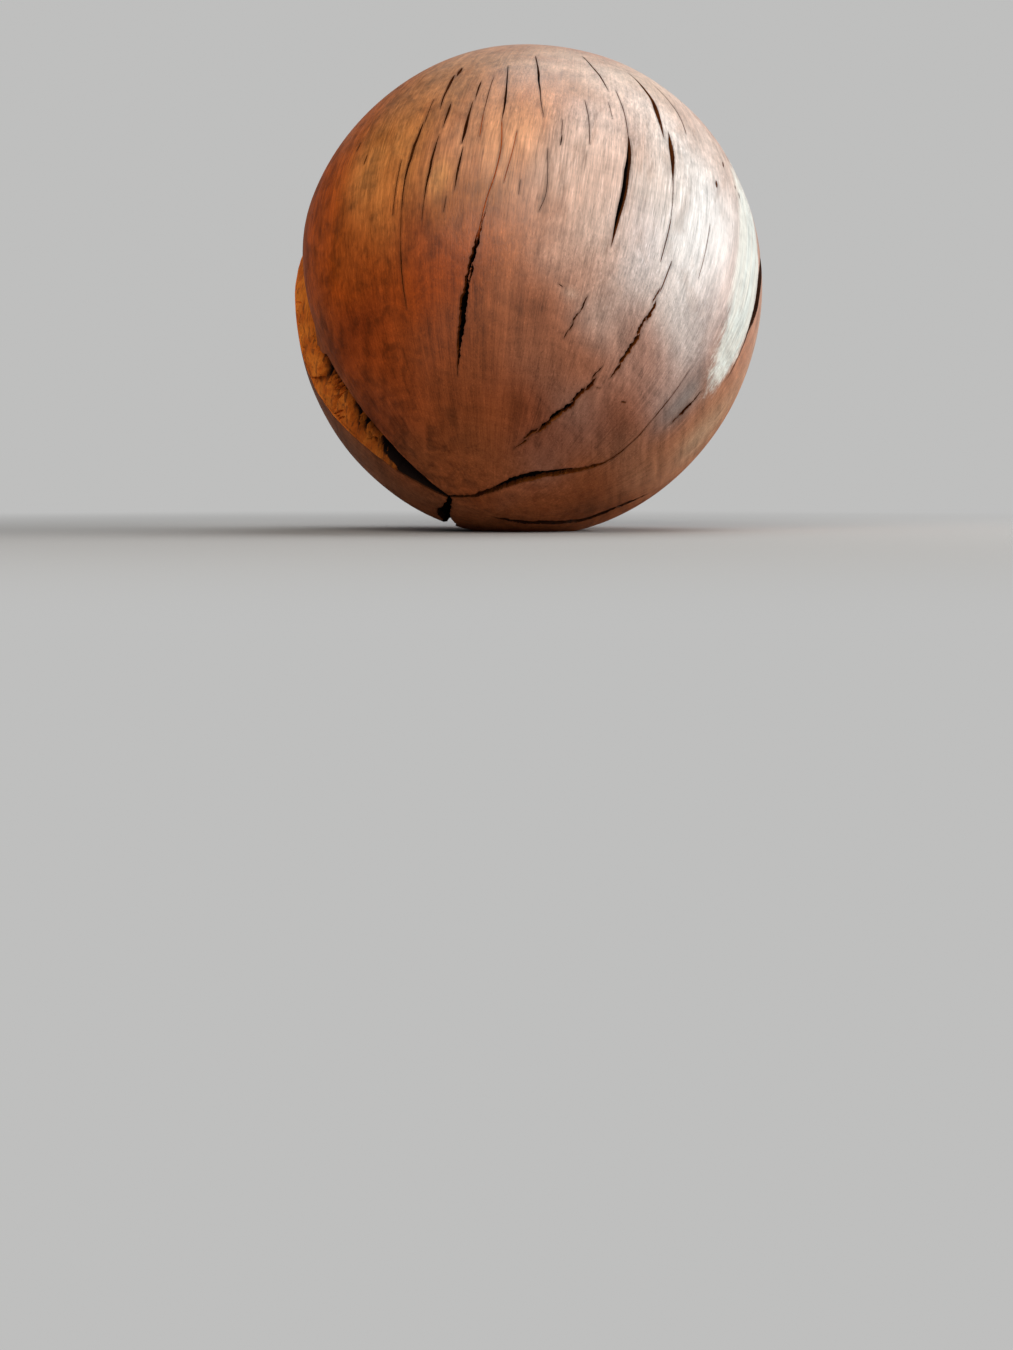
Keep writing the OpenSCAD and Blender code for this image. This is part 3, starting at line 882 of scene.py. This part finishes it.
class Finish:
    """A material whose patterns run along the grain, with short ways to add its nodes."""

    def __init__(self, name):
        self.material = bpy.data.materials.new(name)
        self.material.use_nodes = True
        self.tree = self.material.node_tree
        self.shader = self.tree.nodes["Principled BSDF"]
        self.where = self.add("ShaderNodeTexCoord").outputs["Object"]
        turn_in = self.add("ShaderNodeMapping", Vector=self.where)
        turn_in.vector_type = "TEXTURE"
        turn_in.inputs["Location"].default_value = CENTRE * MM
        turn_in.inputs["Rotation"].default_value = (0, LEAN, BEARING)
        turn_in.inputs["Scale"].default_value = (MM, MM, MM)
        self.grain = turn_in.outputs[0]

    def add(self, kind, **inputs):
        node = self.tree.nodes.new(kind)
        for name, value in inputs.items():
            self.set(node.inputs[name], value)
        return node

    def set(self, socket, value):
        if isinstance(value, bpy.types.NodeSocket):
            self.tree.links.new(value, socket)
        else:
            socket.default_value = value

    def math(self, operation, a, b=0.0, c=0.0):
        node = self.add("ShaderNodeMath")
        node.operation = operation
        for socket, value in zip(node.inputs, (a, b, c)):
            self.set(socket, value)
        return node.outputs[0]

    def noise(self, size, detail=2.0, roughness=0.5, twist=0.0, start=None):
        """Noise with features of a size in mm: across, across and along the grain."""
        scaled = self.add("ShaderNodeMapping", Vector=start or self.grain)
        scaled.inputs["Scale"].default_value = [1 / x for x in size]
        node = self.add("ShaderNodeTexNoise", Vector=scaled.outputs[0])
        looks = {"Scale": 1, "Detail": detail, "Roughness": roughness, "Distortion": twist}
        for name, value in looks.items():
            node.inputs[name].default_value = value
        return node.outputs["Fac"]

    def between(self, value, a, b, low=0.0, high=1.0):
        """Smooth step: low where the value is a, and high where it is b."""
        node = self.add("ShaderNodeMapRange", Value=value)
        node.interpolation_type = "SMOOTHSTEP"
        for name, number in (("From Min", a), ("From Max", b), ("To Min", low), ("To Max", high)):
            node.inputs[name].default_value = number
        return node.outputs[0]

    def sum(self, start, *parts):
        """start plus each share times a noise's swing about its middle."""
        total = start
        for share, value in parts:
            total = self.math("MULTIPLY_ADD", self.math("SUBTRACT", value, 0.5), share, total)
        return total

    def mix(self, factor, a, b):
        """Colour a where the factor is 0, and b where it is 1."""
        node = self.add("ShaderNodeMix")
        node.data_type = "RGBA"
        self.set(node.inputs[0], factor)
        for socket, value in zip([i for i in node.inputs if i.type == "RGBA"], (a, b)):
            self.set(socket, value if isinstance(value, bpy.types.NodeSocket) else (*value, 1))
        return next(o for o in node.outputs if o.type == "RGBA")

    def scale(self, colour, factor):
        node = self.add("ShaderNodeVectorMath")
        node.operation = "SCALE"
        self.set(node.inputs[0], colour)
        self.set(node.inputs["Scale"], factor)
        return node.outputs[0]

    def tint(self, colour, factors):
        node = self.add("ShaderNodeVectorMath")
        node.operation = "MULTIPLY"
        self.set(node.inputs[0], colour)
        node.inputs[1].default_value = factors
        return node.outputs[0]

    def attribute(self, name, output="Fac"):
        node = self.add("ShaderNodeAttribute")
        node.attribute_name = name
        return node.outputs[output]

    def bump(self, height, distance, strength):
        node = self.add("ShaderNodeBump", Height=height)
        node.inputs["Distance"].default_value = distance
        node.inputs["Strength"].default_value = strength
        self.set(self.shader.inputs["Normal"], node.outputs[0])

    def meridians(self, width):
        """Fine lines a width in mm apart that run from pole to pole."""
        apart = self.add("ShaderNodeSeparateXYZ", Vector=self.grain)
        back = [self.math("MULTIPLY", side, -1.0) for side in (apart.outputs[1], apart.outputs[0])]
        around = self.math("MULTIPLY", self.math("ARCTAN2", *back), BALL_R / width)
        along = self.math("MULTIPLY", apart.outputs[2], 1 / MERIDIAN_LENGTH)
        joined = self.add("ShaderNodeCombineXYZ", X=around, Y=along).outputs[0]
        return self.noise((1, 1, 1), 2.0, 0.6, start=joined)

    def rings(self, width, wobble):
        """Growth rings, as irregular bands a width in mm apart."""
        apart = self.add("ShaderNodeSeparateXYZ", Vector=self.grain)
        x, y = [self.math("SUBTRACT", apart.outputs[k], RINGS_AT[k]) for k in (0, 1)]
        squares = [self.math("MULTIPLY", side, side) for side in (x, y)]
        away = self.math("SQRT", self.math("ADD", *squares))
        bend = self.math("MULTIPLY_ADD", self.noise((90, 90, 150), 2.0), wobble, away)
        along = self.math("MULTIPLY", bend, 1 / width)
        joined = self.add("ShaderNodeCombineXYZ", X=along).outputs[0]
        return self.noise((1, 1, 1), 3.0, 0.6, start=joined)


def sanded_wood():
    """The skin: its tone, lightened and darkened by patterns from broad to fine."""
    f = Finish("sanded_wood")
    curly = f.attribute("curly")
    cloudy = f.attribute("cloudy")
    mottle = f.noise((42, 42, 60), 4.0, 0.62, 0.4)
    figure = f.noise((30, 30, 10), 3.0, 0.55, 0.8)
    streak = f.noise((9, 9, 190), 3.0, 0.55)
    fibre = f.noise((1.6, 1.6, 24), 3.0, 0.6)
    fine = f.noise((0.8, 0.8, 9), 2.0, 0.6)
    strand = f.noise((3.4, 3.4, 75), 2.0, 0.6)
    ring = f.rings(7.5, 60.0)
    # curly figure lies across the grain, so its size is in metres along the row's axes
    curl = f.noise((0.008, 0.06, 0.08), 3.0, 0.55, 0.3, start=f.where)
    light = f.sum(1.0, (0.4, figure), (0.6, fibre), (0.25, fine), (0.7, ring))
    along = f.math("MULTIPLY_ADD", curly, -0.8, 1.0)
    light = f.math("MULTIPLY_ADD", along, f.sum(0.0, (0.8, streak), (0.75, strand)), light)
    clouds = f.math("MULTIPLY_ADD", cloudy, 0.5, 0.3)
    light = f.math("MULTIPLY_ADD", clouds, f.sum(0.0, (1.0, mottle)), light)
    light = f.math("MULTIPLY_ADD", curly, f.sum(0.0, (1.3, curl)), light)
    light = f.sum(light, (0.8, f.meridians(1.6)), (0.5, f.meridians(5.0)))
    colour = f.scale(f.attribute("tone", "Color"), light)
    # warm and olive patches, pale fibres that are partly painted glints, and dark pores
    warm = f.between(f.noise((20, 20, 52), 4.0, 0.62, 0.5), 0.5, 0.68, 0.0, 0.5)
    warm = f.math("MULTIPLY", warm, f.math("MULTIPLY_ADD", curly, -0.75, 1.0))
    colour = f.mix(warm, colour, f.tint(colour, (0.66, 0.56, 0.50)))
    olive = f.between(f.noise((15, 15, 24), 4.0, 0.6, 0.6), 0.42, 0.68, 0.0, 0.95)
    colour = f.mix(f.math("MULTIPLY", olive, cloudy), colour, f.tint(colour, (0.58, 0.62, 0.70)))
    pale = f.between(fibre, 0.56, 0.74, 0.0, 0.30)
    colour = f.mix(pale, colour, f.tint(colour, (1.5, 1.7, 1.9)))
    pores = f.between(f.noise((1.3, 1.3, 15), 1.0, 0.5), 0.30, 0.40, 0.35, 0.0)
    colour = f.mix(pores, colour, f.scale(colour, 0.4))
    # the pale sapwood, whose ends run out in streaks, and darker skin beside the cracks
    sap = f.attribute("sap")
    streaky = f.between(f.sum(sap, (0.9, streak), (0.5, strand), (0.3, fibre)), 0.15, 0.75)
    sap = f.math("MULTIPLY", streaky, f.between(sap, 0.0, 0.3))
    cream = f.scale(f.mix(f.between(streak, 0.4, 0.62), CREAM, CREAM_STREAK), light)
    colour = f.mix(sap, colour, cream)
    edge_darkening = f.between(f.attribute("near"), 0.2, 2.6, 0.4, 0.0)
    colour = f.mix(edge_darkening, colour, CRACK_EDGE_DARK)
    f.set(f.shader.inputs["Base Color"], colour)
    dust = f.attribute("dust")
    rough = f.between(dust, 0.0, 1.0, 0.36, 0.62)
    f.set(f.shader.inputs["Roughness"], f.sum(rough, (0.3, fibre), (0.2, mottle), (-0.2, streak)))
    f.set(f.shader.inputs["Specular IOR Level"], f.between(dust, 0.0, 0.85, 0.40, 0.03))
    f.bump(f.sum(0.0, (0.8, fibre), (0.4, fine), (0.6, streak), (-0.4, pores)), 0.0007, 0.45)
    return f.material


def torn_wood():
    """The walls of the cracks: bright torn wood under painted shade that deepens further down."""
    f = Finish("torn_wood")
    strand = f.noise((3.0, 3.0, 34), 4.0, 0.62, 0.2)
    fibre = f.noise((0.9, 0.9, 12), 3.0, 0.6)
    patch = f.noise((16, 16, 26), 3.0, 0.6, 0.4)
    tan = f.mix(f.between(patch, 0.38, 0.66), TORN_TAN, TORN_RUST)
    tan = f.mix(f.between(strand, 0.48, 0.68, 0.0, 0.85), tan, TORN_STREAK)
    tan = f.scale(tan, f.sum(1.0, (0.8, fibre), (0.6, strand)))
    # painted shade over the torn wood, deeper further down and never less than the least shade given
    dark = f.between(f.sum(f.attribute("dark"), (0.5, patch), (0.4, strand)), 0.35, 1.0)
    dark = f.math("MAXIMUM", dark, f.attribute("shade"))
    f.set(f.shader.inputs["Base Color"], f.mix(dark, tan, CRACK_PAINTED_SHADE))
    f.set(f.shader.inputs["Roughness"], f.sum(0.82, (0.2, fibre)))
    f.set(f.shader.inputs["Specular IOR Level"], 0.12)
    f.bump(f.sum(0.0, (0.9, strand), (0.6, fibre)), 0.0012, 0.6)
    return f.material


ball = wooden_ball()
dress(ball, sanded_wood(), torn_wood())
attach(ball, "root")
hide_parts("ball")


# ---------------------------------------------------------------- camera, floor and light

# The photograph's view: where it was taken from in metres, and how far down it looks in degrees
CAMERA_PLACE = (-0.0182, -2.2693, 0.0517)
CAMERA_DOWN = 4.9
LENS = 61.33
SENSOR = 36


def camera():
    data = bpy.data.cameras.new("camera")
    data.sensor_width = SENSOR
    data.lens = LENS
    cam = add_object("camera", data)
    cam.location = CAMERA_PLACE
    cam.rotation_euler = (math.radians(90 - CAMERA_DOWN), 0, 0)
    bpy.context.scene.camera = cam


def soft_light(name, place, aim_at, size, watts, colour):
    data = bpy.data.lights.new(name, "AREA")
    data.shape = "RECTANGLE"
    data.size, data.size_y = size
    data.energy = watts
    data.color = colour
    lamp = add_object(name, data)
    lamp.location = place
    lamp.rotation_euler = (Vector(aim_at) - Vector(place)).to_track_quat("-Z", "Y").to_euler()


# Floor as it is seen and as it lights the ball, the background, and the light all round
FLOOR_SEEN = (0.42, 0.42, 0.415)
FLOOR_BOUNCE = (0.42, 0.40, 0.38)
BACKDROP = (0.52, 0.52, 0.515)
AMBIENT = (0.92, 0.95, 1)
AMBIENT_STRENGTH = 0.22
FLOOR_R = 12.0
FLOOR_SIDES = 64
FADE_FROM, FADE_TO = 0.35, 1.5  # distances at which the floor runs into the background


def shown(tree):
    """1 for rays that show the background itself: those from the camera, mirrored or let through."""
    path = tree.nodes.new("ShaderNodeLightPath")
    total = path.outputs["Is Camera Ray"]
    for name in ("Is Glossy Ray", "Is Transmission Ray"):
        add = tree.nodes.new("ShaderNodeMath")
        add.use_clamp = True
        tree.links.new(total, add.inputs[0])
        tree.links.new(path.outputs[name], add.inputs[1])
        total = add.outputs[0]
    return total


def floor():
    """Pale disc that takes the shadow near the ball and runs into the background further out."""
    mesh = bpy.data.meshes.new("floor")
    angles = [2 * math.pi * k / FLOOR_SIDES for k in range(FLOOR_SIDES)]
    ring = [(FLOOR_R * math.cos(a), FLOOR_R * math.sin(a), 0) for a in angles]
    mesh.from_pydata(ring, [], [list(range(FLOOR_SIDES))])
    m = bpy.data.materials.new("floor")
    m.use_nodes = True
    nodes, links = m.node_tree.nodes, m.node_tree.links

    def shade(kind, colour):
        node = nodes.new(kind)
        node.inputs["Color"].default_value = (*colour, 1)
        return node.outputs[0]

    def mix(factor, a, b):
        node = nodes.new("ShaderNodeMixShader")
        for socket, value in zip(node.inputs, (factor, a, b)):
            links.new(value, socket)
        return node.outputs[0]

    where = nodes.new("ShaderNodeTexCoord")
    length = nodes.new("ShaderNodeVectorMath")
    length.operation = "LENGTH"
    links.new(where.outputs["Object"], length.inputs[0])
    fade = nodes.new("ShaderNodeMapRange")
    fade.interpolation_type = "SMOOTHSTEP"
    fade.inputs["From Min"].default_value = FADE_FROM
    fade.inputs["From Max"].default_value = FADE_TO
    links.new(length.outputs["Value"], fade.inputs["Value"])
    near = shade("ShaderNodeBsdfDiffuse", FLOOR_SEEN)
    far = shade("ShaderNodeEmission", BACKDROP)
    bounce = shade("ShaderNodeBsdfDiffuse", FLOOR_BOUNCE)
    seen = mix(fade.outputs[0], near, far)
    links.new(mix(shown(m.node_tree), bounce, seen), nodes["Material Output"].inputs["Surface"])
    mesh.materials.append(m)
    add_object("floor", mesh)


def world():
    """Dim cool light all round, behind which the camera sees the backdrop."""
    w = bpy.data.worlds.new("world")
    bpy.context.scene.world = w
    w.use_nodes = True
    nodes, links = w.node_tree.nodes, w.node_tree.links
    lit = nodes["Background"]
    lit.inputs["Color"].default_value = (*AMBIENT, 1)
    lit.inputs["Strength"].default_value = AMBIENT_STRENGTH
    seen = nodes.new("ShaderNodeBackground")
    seen.inputs["Color"].default_value = (*BACKDROP, 1)
    mix = nodes.new("ShaderNodeMixShader")
    links.new(shown(w.node_tree), mix.inputs[0])
    links.new(lit.outputs[0], mix.inputs[1])
    links.new(seen.outputs[0], mix.inputs[2])
    links.new(mix.outputs[0], nodes["World Output"].inputs["Surface"])


camera()
floor()
world()
# the window on the right, the light from above, and the room's light on the front
soft_light("window", (2.3, 0.0, 0.8), (0, 0, 0.25), (1.9, 1.4), 56, (1, 0.985, 0.97))
soft_light("sky", (0.6, 0.5, 2.3), (0, 0, 0.3), (1.7, 1.5), 24, (0.97, 0.98, 1))
soft_light("front", (-0.4, -2.2, 2.1), (0, 0, 0.3), (2.2, 2.2), 46, (1, 0.92, 0.82))
bpy.context.scene.view_settings.view_transform = "Standard"
